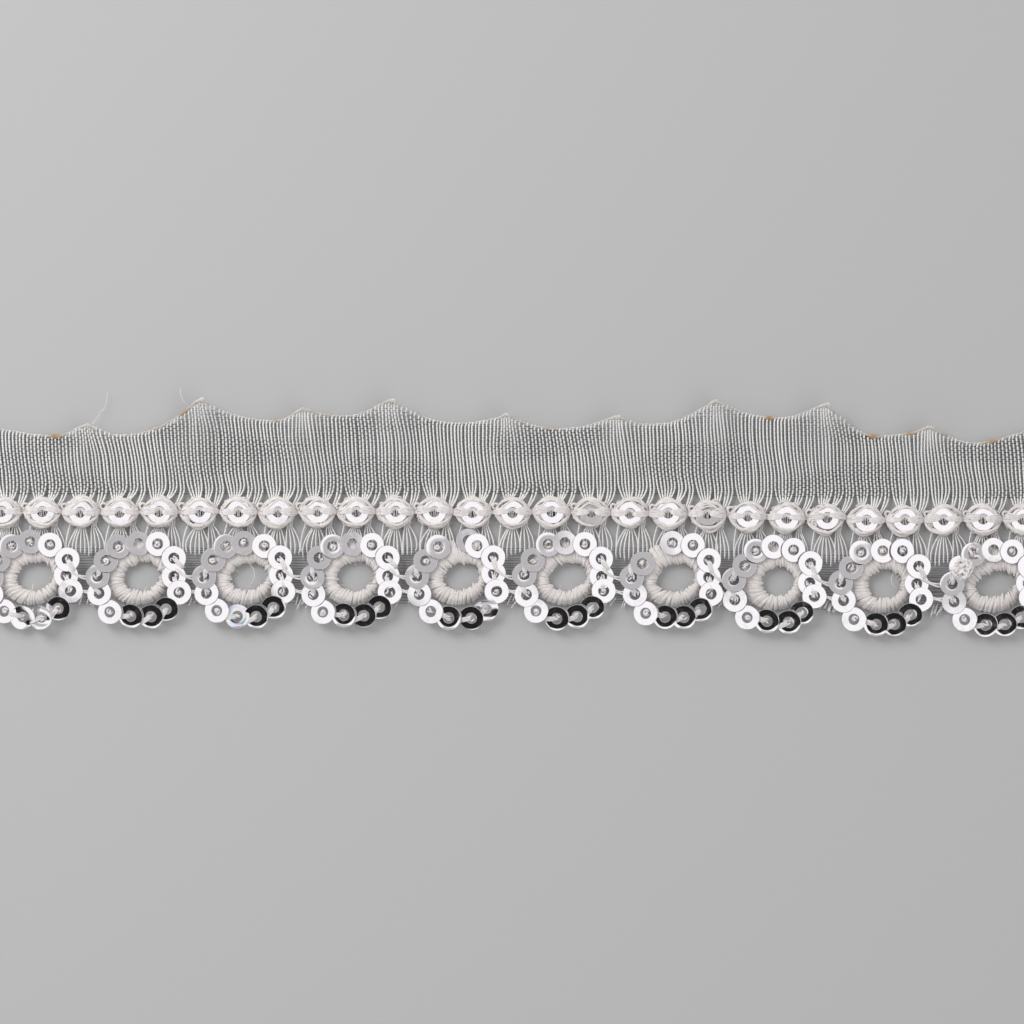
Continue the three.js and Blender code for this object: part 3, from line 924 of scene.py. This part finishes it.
def addOutlineTurns(pile, middle, rng):
    # Small knots where the drawn yarns leave the lower side
    turn = np.linspace(0, twoPi, 9)
    for at, low in rosette["knots"]:
        x = at + rng.uniform(-0.1, 0.1) + 0.16 * np.cos(turn)
        y = -low + 0.13 * np.sin(turn)
        addStrand(pile, middle, x, y, 0.55 + 0.04 * turn, 0.11, rng.uniform(0.4, 1.0))
    # Stray turns that make the outline uneven
    for _ in range(rosette["strayTurns"]):
        at = rng.uniform(0.2, 0.9) * (1 if rng.uniform() < 0.5 else -1)
        side = 1 if rng.uniform() < 0.4 else -1
        turn = rng.uniform(0, twoPi) + np.linspace(0, rng.uniform(3.0, 5.0), 9)
        size = rng.uniform(0.15, 0.26)
        x = rosette["halfWidth"] * 0.92 * at + 1.3 * size * np.cos(turn)
        y = side * (rosette["turnHeight"] * lidHeight(at) + 0.15) + size * np.sin(turn)
        addStrand(pile, middle, x, y, 0.75 + 0.12 * np.sin(turn), rng.uniform(0.1, 0.14), rng.uniform(0, 0.7))


def addBand(pile, middle, rng):
    # Strands from both tips over the sequin's rim and down through its hole
    level = rosette["sequinLevel"]
    lift = rng.uniform(0.0, 0.24)
    slope = rng.uniform(-0.12, 0.12)
    # From a tip to the hole: how far out, share of the lift, share of the spread, height
    out = np.array([2.45, 2.05, 1.62, 1.36, 1.0, 0.68, 0.5, 0.36])
    lifted = np.array([0.2, 0.5, 0.85, 1, 1, 1, 1, 0.9])
    spread = np.array([0.6, 1.2, 1.4, 1.3, 1.1, 0.85, 0.6, 0.4])
    rise = np.array([-0.75, -0.35, 0.02, 0.15, 0.17, 0.15, 0.0, -0.3])
    for side in (-1, 1):
        spacing = rosette["bandSpacing"] * rng.uniform(0.8, 1.5)
        for j in range(rosette["bandStrands"]):
            offset = (j - (rosette["bandStrands"] - 1) / 2) * spacing
            y = lift * lifted + offset * spread + 0.02 * rng.normal(size=8) + side * slope * (1 - out / 2.45)
            z = level + rise + 0.03 * math.cos(offset * 4)
            addStrand(pile, middle, side * out, y, z, rng.uniform(0.115, 0.14), rng.uniform(0, 0.7), flat=0.8)
    # Threads that arch round the upper half of the hole
    turn = np.linspace(0.05, math.pi - 0.05, 7)
    for j in range(rosette["holeArches"]):
        x = (0.56 - 0.13 * j) * np.cos(turn)
        y = 0.02 + (0.52 - 0.13 * j) * np.sin(turn)
        z = level - 0.06 - 0.05 * j
        addStrand(pile, middle, x, y, z, rng.uniform(0.085, 0.11), rng.uniform(0.2, 0.9))
    # Short strokes seen in the lower half of the hole
    v = np.linspace(0, 1, 4)
    for j in range(rosette["holeStrokes"]):
        x = (j - 1.5) * 0.26 + rng.uniform(-0.04, 0.04) - rng.uniform(-0.16, 0.08) * v
        z = level - 0.14 - 0.1 * np.sin(v * math.pi)
        radius = rng.uniform(0.045, 0.07)
        addStrand(pile, middle, x, 0.15 - 0.75 * v, z, radius, rng.uniform(0, 0.6), sides=5, across=alongTrim)


def makeRosette(k, threads, bands):
    place = rosettes[k]
    dull = k in dullRosettes
    rng = np.random.default_rng(rosette["seed"] + k)
    addPadding(threads, place)
    addLids(threads, place, rng)
    addSlants(threads, place, rng)
    addUpperLids(threads, place, rng, 3 if dull else 1)
    addEndWraps(threads, place, rng)
    addTips(threads, place, rng)
    addOutlineTurns(threads, place, rng)
    seat = place + np.array(rosette["seat"]) * rng.uniform(-1, 1, 2)
    addBand(bands, seat, rng)
    rng = np.random.default_rng(rosette["discSeed"] + k)
    lean = rng.normal(0, 0.009, 2) + ((-0.03, 0.13) if dull else (0, 0))
    shape = {
        "bend": rng.uniform(-0.025, 0.025), "dish": rng.uniform(-0.015, 0.015), "ripple": 0.006,
        "phase": rng.uniform(0, twoPi),
    }
    pile = newPile()
    middle = np.array([*seat, rosette["sequinLevel"]])
    addDisc(pile, middle, turnTo((*lean, 1), alongTrim), shape, scale=rosette["sequinScale"])
    makePiece(f"{rosetteNames[k]}_disc", pile, [sequinFilm], [rosetteNames[k]])


def makeRosettes():
    threads = newPile()
    bands = newPile()
    for k in range(len(rosettes)):
        makeRosette(k, threads, bands)
    makePiece("rosette_threads", threads, [embroideryThread], ["rosette_cord"])
    makePiece("rosette_bands", bands, [holdingThread])


makeRosettes()
print("rosettes made")


# The eyelets: satin stitches laid over a filled ring

def eyeletEdges(index, angle):
    # The hole's edge and the outer edge at an angle
    width, height = holeSizes[index]
    turn = eyelet["turn"]
    x = width / 2 * np.cos(angle)
    y = height / 2 * np.sin(angle)
    turned = [x * math.cos(turn) - y * math.sin(turn), x * math.sin(turn) + y * math.cos(turn)]
    outer = [eyelet["halfWidth"] * np.cos(angle + turn), eyelet["halfHeight"] * np.sin(angle + turn)]
    return holes[index] + np.stack(turned, -1), eyeletMiddles[index] + np.stack(outer, -1)


def addFilling(pile, index):
    inner, outer = eyeletEdges(index, np.arange(40) * twoPi / 40)
    # Out as a share of the way from the hole to the outer edge, and height
    section = [
        (0.06, 0.0), (0.03, 0.35), (0.1, 0.75), (0.3, 0.98),
        (0.6, 0.88), (0.93, 0.5), (0.97, 0.25), (0.9, 0.0),
    ]
    loops = [[[*(near + (far - near) * out), z] for out, z in section] for near, far in zip(inner, outer)]
    addLoops(pile, loops, 0.6)


def addStitches(pile, index, rng):
    # Each from under the hole's edge, over the crest and down outside
    count = eyelet["stitches"]
    angle = (np.arange(count) + rng.uniform(-0.3, 0.3, count)) * twoPi / count
    slant = rng.normal(0.02, 0.03, count) + 0.05 * np.sin(3 * angle + rng.uniform(0, twoPi))
    inner = eyeletEdges(index, angle - slant)[0]
    outer = eyeletEdges(index, angle + slant)[1]
    ragged = rng.normal(0, 0.08, count) + 0.07 * np.sin(5 * angle + rng.uniform(0, twoPi))
    ragged = ragged + 0.05 * np.sin(11 * angle)
    out = np.array([0.1, 0.0, -0.01, 0.1, 0.3, 0.62, 0.9, 1.0])
    rise = np.array([0.1, 0.4, 0.75, 1.02, 1.12, 1.0, 0.66, 0.3])
    reach = (outer - inner)[:, None]
    spread = unit(outer - inner)
    flat = inner[:, None] + reach * out[:, None]
    flat = flat - (spread * ragged[:, None])[:, None] * (1 - out)[:, None] ** 2
    lift = rng.uniform(-0.05, 0.07, count)
    z = rise + lift[:, None] * np.sin(np.linspace(0, math.pi, len(out)))
    width = np.linalg.norm(reach[:, 0], axis=1)
    thick = np.interp(out, [0, 0.6, 1], [eyelet["innerWidth"], eyelet["outerWidth"], eyelet["outerWidth"]])
    clumps = 1 + 0.12 * np.sin(np.arange(count) * 2.3 + rng.uniform(0, twoPi))
    radius = thick * (rng.uniform(0.9, 1.15, count) * clumps * (width / width.mean()) ** 0.2)[:, None]
    paths = line(flat[..., 0], flat[..., 1], z)
    across = line(-spread[:, 1], spread[:, 0], 0.0)[:, None]
    addTubes(pile, paths, radius, across, sides=6, tint=rng.uniform(0, 0.6, count), flat=0.75)


def addHairs(pile, index, rng):
    # Loose hairs at the hole's edge
    v = np.linspace(0, 1, 4)
    for _ in range(eyelet["looseHairs"]):
        edge, far = eyeletEdges(index, rng.uniform(0, twoPi))
        inwards = -unit(far - edge) + rng.normal(0, 0.5, 2)
        base = edge - 0.1 * inwards
        length = rng.uniform(0.25, 0.5)
        z = 0.7 + v * rng.uniform(-0.3, 0.4)
        hair = line(base[0] + v * inwards[0] * length, base[1] + v * inwards[1] * length, z)
        addTubes(pile, hair, 0.03, upward, sides=4, tint=rng.uniform(0, 0.6))


def makeEyelet(index):
    rng = np.random.default_rng(eyelet["seed"] + index)
    pile = newPile()
    addFilling(pile, index)
    addStitches(pile, index, rng)
    addHairs(pile, index, rng)
    makePiece(f"{eyeletNames[index]}_threads", pile, [embroideryThread], [eyeletNames[index]])


for eyeletIndex in range(len(holes)):
    makeEyelet(eyeletIndex)
print("eyelets stitched")


# The rings of sequins. Offsets are from the hole's middle, in the order they are sewn:
# each lies on the one before, and the last one also on the first.

ring = {
    "middle": np.array([-0.6, -0.35]), "level": 1.45, "firstSinks": 0.08, "lastRises": 0.1, "lowSinks": 0.1,
    "jitter": 0.11, "leanJitter": 0.013, "lowRimRise": 0.17, "rimRise": 0.045, "lip": 0.016,
    "tuftShare": 0.25, "seed": 401,
}
ringPlaces = [
    (4.0, 0.1), (4.4, -1.9), (3.0, -4.0), (1.1, -5.0), (-1.4, -5.0), (-3.9, -4.4), (-5.25, -2.25),
    (-5.5, 0.1), (-4.4, 2.1), (-2.8, 3.8), (-0.5, 4.25), (2.0, 4.0), (4.1, 2.25),
]
# How each leans, on towards the next one and out from the middle of the ring
ringLeans = [
    (0.02, 0.1), (0.08, 0.12), (0.22, 0.15), (0.18, 0.18), (0.12, 0.2), (0.16, 0.12), (0.14, 0.12),
    (0.155, 0.13), (0.155, 0.13), (0.155, 0.13), (0.09, 0.18), (0.155, 0.13), (0.02, 0.13),
]
lowSequins = (2, 3, 4)  # their outer rims are turned up the most
lippedSequins = (2, 3, 4, 7, 8, 9)  # these catch light on their rims and on the edge of the hole
crossedSequins = (0, 2, 3, 4, 6, 7, 12)  # the thread crosses the rims of these in sight
openSequin = 10  # in every other ring no thread shows in the hole of this one
# (ring, sequin) and what is out of the ordinary: how far it is shifted, dropped, bent or leant
# beyond the rest, its pearly tint and the threads heaped on it, or None where it is lost
oddSequins = {
    (0, 3): {"bend": 0.55, "lean": (-0.3, 0.1)},
    (0, 4): {"bend": 0.4, "lean": (0.2, -0.2)},
    (2, 4): {"tint": 1.0, "lean": (0.17, 0.15)},
    (4, 2): {"bend": 0.5, "lean": (0.1, -0.35)},
    (4, 10): {"shift": (1.6, 0.25), "drop": 0.3},
    (6, 9): None,
    (7, 10): {"lean": (0.08, -0.1)},
    (8, 10): {"lean": (0.08, -0.1)},
    (9, 8): {"bend": 0.35, "lean": (-0.12, 0.1), "heap": 34},
    (9, 9): {"bend": 0.1, "lean": (-0.12, 0.06), "heap": 4},
}


def addStitch(pile, middle, axes, local, radius, tint):
    # One thread in a sequin's own axes
    addTubes(pile, middle + local @ axes, radius, axes[2], sides=6, tint=tint)


def addHoldingThread(pile, middle, axes, rng, shape):
    # From under the hole, over the leading side of the disc and down past its rim
    rim = sequin["radius"]
    width = rng.uniform(0.105, 0.13)
    turn = rng.uniform(-0.3, 0.3)
    along = np.array([0.1, 0.28, 0.55, 0.95, 1.3, rim + 0.06, rim + 0.22])
    spread = np.array([0.8, 1, 1.15, 1.1, 1, 0.9, 0.8])
    rise = np.array([-0.4, -0.03, 0.14, 0.14, 0.13, 0.0, -0.45])
    for offset in (-0.17, 0.0, 0.17):
        across = offset * spread + 0.015 * rng.normal(size=7)
        x = along * math.cos(turn) - across * math.sin(turn)
        y = along * math.sin(turn) + across * math.cos(turn)
        local = line(x, y, rise + 0.03 * (offset == 0))
        local[1:6, 2] += discShape(local[1:6], **shape)
        addStitch(pile, middle, axes, local, width, rng.uniform(0, 0.8))


def addKnot(pile, middle, axes, rng):
    # A coil of thread that fills most of a hole, then dives through it
    turn = rng.uniform(0, twoPi)
    aside = rng.uniform(0.02, 0.14) * np.array([math.cos(turn), math.sin(turn)])
    for size, sink in ((0.36, 0.1), (0.14, 0.0)):
        spin = turn + np.linspace(0, rng.uniform(3.6, 5.4), 10)
        grow = size * np.linspace(1.05, 0.8, 10)
        rise = -0.08 - sink + 0.06 * np.sin(spin * 1.5)
        rise[0] -= 0.2
        rise[-2:] -= (0.12, 0.35)
        local = line(aside[0] + grow * np.cos(spin), aside[1] + grow * 0.9 * np.sin(spin), rise)
        addStitch(pile, middle, axes, local, rng.uniform(0.13, 0.16), rng.uniform(0.1, 0.9))
        turn += rng.uniform(1.5, 3.5)


def addTuft(pile, middle, axes, rng):
    # Loose strands that partly fill a hole
    v = np.linspace(0, 1, 5)
    for _ in range(4):
        start = rng.uniform(-0.42, 0.42, 2)
        bend = rng.uniform(0.1, 0.3)
        heading = rng.uniform(-0.9, 0.9)
        x = start[0] * 0.6 - 0.15 + v * math.cos(heading) * 0.6
        y = start[1] * 0.8 + v * math.sin(heading) * 0.5
        squeeze = np.minimum(1, 0.5 / np.maximum(np.hypot(x, y), 1e-6))
        local = line(x * squeeze, y * squeeze, -0.22 + bend * np.sin(v * math.pi))
        addStitch(pile, middle, axes, local, rng.uniform(0.075, 0.12), rng.uniform(0.1, 1.0))


def addHeap(pile, middle, axes, rng, count):
    # Loose thread heaped over a crushed sequin
    v = np.linspace(-1, 1, 8)
    bulge = 1 - v * v
    for _ in range(count):
        heading = rng.uniform(0, twoPi)
        size = rng.uniform(0.3, 0.65)
        bow = rng.uniform(-0.45, 0.45)
        start = rng.uniform(-0.95, 0.95, 2)
        x = start[0] + size * v * math.cos(heading) - bow * bulge * math.sin(heading)
        y = start[1] + size * v * math.sin(heading) + bow * bulge * math.cos(heading)
        local = line(x, y, 0.1 + rng.uniform(0.05, 0.4) * bulge - 0.25 * v**4)
        addStitch(pile, middle, axes, local, rng.uniform(0.12, 0.2), rng.uniform(0, 0.9))


def makeRing(index):
    rng = np.random.default_rng(ring["seed"] + index)
    discs = newPile()
    stitches = newPile()
    for order, place in enumerate(np.array(ringPlaces)):
        odd = oddSequins.get((index, order), {})
        jitter = rng.normal(0, ring["jitter"], 2)
        phase = rng.uniform(0, twoPi)
        leanJitter = rng.normal(0, ring["leanJitter"], 2)
        bend = rng.uniform(-0.03, 0.04)
        dish = rng.uniform(-0.02, 0.01)
        if odd is None:
            continue
        isLow = order in lowSequins
        isLipped = order in lippedSequins
        outward = np.append(unit(place - ring["middle"]), 0)
        onward = np.array([outward[1], -outward[0], 0])
        leanOn, leanOut = ringLeans[order]
        normal = upward + leanOn * onward + leanOut * outward
        normal[:2] += leanJitter + np.array(odd.get("lean", (0, 0)))
        axes = turnTo(normal, onward)
        level = ring["level"] - ring["firstSinks"] * (order == 0) - ring["lowSinks"] * isLow
        level += ring["lastRises"] * (order == len(ringPlaces) - 1) - odd.get("drop", 0.0)
        offset = place + jitter + np.array(odd.get("shift", (0, 0)))
        middle = np.array([*(holes[index] + offset), level])
        rimRise = ring["lowRimRise"] if isLow else ring["rimRise"] * isLipped
        shape = {
            "bend": bend + odd.get("bend", 0.0), "dish": dish, "phase": phase,
            "ripple": 0.016 if isLow else 0.004,
            "flange": rimRise * rng.uniform(0.4, 1.3), "flangeAt": math.pi / 2 + rng.uniform(-0.4, 0.4),
            "lip": ring["lip"] * isLipped,
        }
        addDisc(discs, middle, axes, shape, odd.get("tint", 0.0))
        if "heap" in odd:
            addHeap(stitches, middle, axes, rng, odd["heap"])
        if order in crossedSequins:
            addHoldingThread(stitches, middle, axes, rng, shape)
            addTuft(stitches, middle, axes, rng)
        elif order != openSequin or index % 2 == 0:
            fill = addTuft if rng.uniform() < ring["tuftShare"] else addKnot
            fill(stitches, middle, axes, rng)
    makePiece(f"{ringNames[index]}_discs", discs, [sequinFilm], [ringNames[index]])
    makePiece(f"{ringNames[index]}_stitches", stitches, [holdingThread])


for ringIndex in range(len(holes)):
    makeRing(ringIndex)
print("rings sewn")


# Thread bars between the rings, and stray fibres

bars = {"radius": 0.125, "level": 1.22, "seed": 909}
# From under the last sequin of one ring to the far left of the next: offsets from the two
# holes, how far the bar sags, and how far its start is raised to lie on the first sequin
barPlaces = [((4.3, 0.95), (-6.0, 0.0), 0.55, 0.42), ((5.6, -1.7), (-5.9, -2.0), 0.1, 0.0)]


def makeBars():
    rng = np.random.default_rng(bars["seed"])
    pile = newPile()
    v = np.linspace(0, 1, 9)
    for left, right in zip(holes, holes[1:]):
        for startOffset, endOffset, sag, raised in barPlaces:
            start = left + startOffset
            end = right + endOffset
            for offset in (-0.12, 0.13):
                x = start[0] + (end[0] - start[0]) * v
                y = start[1] + (end[1] - start[1]) * v - sag * np.sin(v * math.pi)
                y = y + offset * (1 + 0.4 * np.cos(v * 9))
                z = bars["level"] - 0.15 * np.sin(v * math.pi) + 0.03 * rng.normal(size=9)
                z = z + raised * (1 - smooth(v, 0.3, 0.75))
                addTubes(pile, line(x, y, z), bars["radius"], upward, sides=6, tint=rng.uniform(0, 0.6))
    makePiece("thread_bars", pile, [holdingThread])


strayFibres = [
    # x and height over the row line of start, middle and end, and how high the middle lies
    ((-41.5, 15.5), (-41.1, 14.0), (-40.0, 12.9), 0.9),
    ((-51.5, 12.6), (-52.6, 10.9), (-54.5, 10.2), 1.0),
    ((-50.6, 15.0), (-50.9, 13.2), (-51.5, 12.6), 0.5),
    ((-7.9, -6.2), (-8.3, -7.3), (-8.7, -8.3), 1.3),
    ((5.4, -6.3), (5.0, -7.3), (4.5, -8.1), 1.3),
    ((18.9, -6.9), (18.2, -8.0), (17.3, -8.7), 1.4),
    ((-33.4, -6.0), (-32.2, -7.6), (-33.0, -9.4), 1.3),
    ((48.2, -9.6), (47.4, -8.6), (47.9, -7.4), 1.2),
    ((-59.9, -8.9), (-60.0, -9.8), (-60.3, -10.4), 1.1),
    ((-45.6, -9.2), (-45.9, -9.8), (-46.1, -10.3), 1.1),
    ((60.0, -6.0), (58.9, -7.2), (58.0, -8.3), 1.3),
]


def makeStrays():
    pile = newPile()
    v = np.linspace(0, 1, 12)
    for *corners, level in strayFibres:
        a, b, c = np.array(corners) + (0, rowY)
        bent = 2 * b - (a + c) / 2  # so that the curve passes through the middle
        flat = np.outer((1 - v) ** 2, a) + np.outer(2 * v * (1 - v), bent) + np.outer(v**2, c)
        path = line(flat[:, 0], flat[:, 1], 0.5 + (level - 0.5) * np.sin(v * math.pi))
        addTubes(pile, path, 0.035, upward, sides=4, tint=0.3)
    makePiece("stray_fibres", pile, [weftYarn])


makeBars()
makeStrays()
print("bars and fibres laid")


# Floor, light and camera, in metres

studio = {
    "floorHalf": 0.9, "floorDrop": 0.00002, "floorColour": (0.45, 0.45, 0.455, 1), "floorRoughness": 0.8,
    "viewWidth": 0.128, "lens": 200.0, "sensor": 36.0, "topOfTrim": 0.001,
    "lampPlace": (-0.32, 0.28, 0.34), "lampSize": 0.3, "lampPower": 1.8,
}
# How bright the sky is overhead, and in the wedges behind and in front of the work: their
# bearing in degrees, how narrow they are, and how far from overhead they begin and are full.
# Both fade out lower down.
sky = {
    "overhead": 1.02, "wedgesFadeFrom": 0.6, "wedgesFadeTo": 0.35,
    "behind": {"strength": 0.5, "bearing": 102.0, "narrow": 0.75, "begins": 0.04, "full": 0.14},
    "before": {"strength": 0.015, "bearing": 240.0, "narrow": 0.72, "begins": 0.06, "full": 0.14},
}


def makeFloor():
    half = studio["floorHalf"]
    mesh = bpy.data.meshes.new("floor")
    corners = [(-half, -half, 0), (half, -half, 0), (half, half, 0), (-half, half, 0)]
    mesh.from_pydata(corners, [], [(0, 1, 2, 3)])
    material = bpy.data.materials.new("paleFloor")
    material.use_nodes = True
    shader = material.node_tree.nodes["Principled BSDF"]
    shader.inputs["Base Color"].default_value = studio["floorColour"]
    shader.inputs["Roughness"].default_value = studio["floorRoughness"]
    mesh.materials.append(material)
    floor = bpy.data.objects.new("floor", mesh)
    floor.location.z = -studio["floorDrop"]
    bpy.context.scene.collection.objects.link(floor)


def makeSky():
    # Bright overhead and at both sides, grey behind the work and dark in front of it
    world = bpy.data.worlds.new("studio")
    bpy.context.scene.world = world
    world.use_nodes = True
    tree = world.node_tree
    direction = addNode(tree, "ShaderNodeTexCoord").outputs["Generated"]
    x, y, z = addNode(tree, "ShaderNodeSeparateXYZ", {0: direction}).outputs
    raised = remap(tree, z, sky["wedgesFadeTo"], sky["wedgesFadeFrom"], 0.0, 1.0, "SMOOTHSTEP")
    glow = sky["overhead"]
    for wedge in (sky["behind"], sky["before"]):
        # 0 to 1 in a wedge of high directions round a bearing, away from straight overhead
        cosine = math.cos(math.radians(wedge["bearing"]))
        sine = math.sin(math.radians(wedge["bearing"]))
        along = maths(tree, "ADD", maths(tree, "MULTIPLY", x, cosine), maths(tree, "MULTIPLY", y, sine))
        aside = maths(tree, "SUBTRACT", maths(tree, "MULTIPLY", y, cosine), maths(tree, "MULTIPLY", x, sine))
        aside = maths(tree, "MULTIPLY", maths(tree, "ABSOLUTE", aside), wedge["narrow"])
        depth = maths(tree, "SUBTRACT", along, aside)
        share = remap(tree, depth, wedge["begins"], wedge["full"], 0.0, 1.0, "SMOOTHSTEP")
        share = maths(tree, "MULTIPLY", share, raised)
        glow = maths(tree, "MULTIPLY_ADD", share, maths(tree, "SUBTRACT", wedge["strength"], glow), glow)
    background = tree.nodes["Background"]
    feed(tree, background.inputs["Strength"], glow)
    background.inputs["Color"].default_value = (1, 1, 1, 1)


def makeLamp():
    lamp = bpy.data.lights.new("softKey", "AREA")
    lamp.shape = "DISK"
    lamp.size = studio["lampSize"]
    lamp.energy = studio["lampPower"]
    holder = bpy.data.objects.new("softKey", lamp)
    holder.location = studio["lampPlace"]
    holder.rotation_euler = (-Vector(studio["lampPlace"])).to_track_quat("-Z", "Y").to_euler()
    holder.visible_glossy = False  # no hard glints on the film
    bpy.context.scene.collection.objects.link(holder)


def makeCamera():
    camera = bpy.data.cameras.new("camera")
    camera.lens = studio["lens"]
    camera.sensor_width = studio["sensor"]
    camera.clip_start = 0.01
    holder = bpy.data.objects.new("camera", camera)
    distance = studio["viewWidth"] * studio["lens"] / studio["sensor"]
    holder.location = (0.0, rowY / metre, distance + studio["topOfTrim"])
    bpy.context.scene.collection.objects.link(holder)
    bpy.context.scene.camera = holder


makeFloor()
makeSky()
makeLamp()
makeCamera()
bpy.context.scene.view_settings.view_transform = "Standard"
print("studio lit")
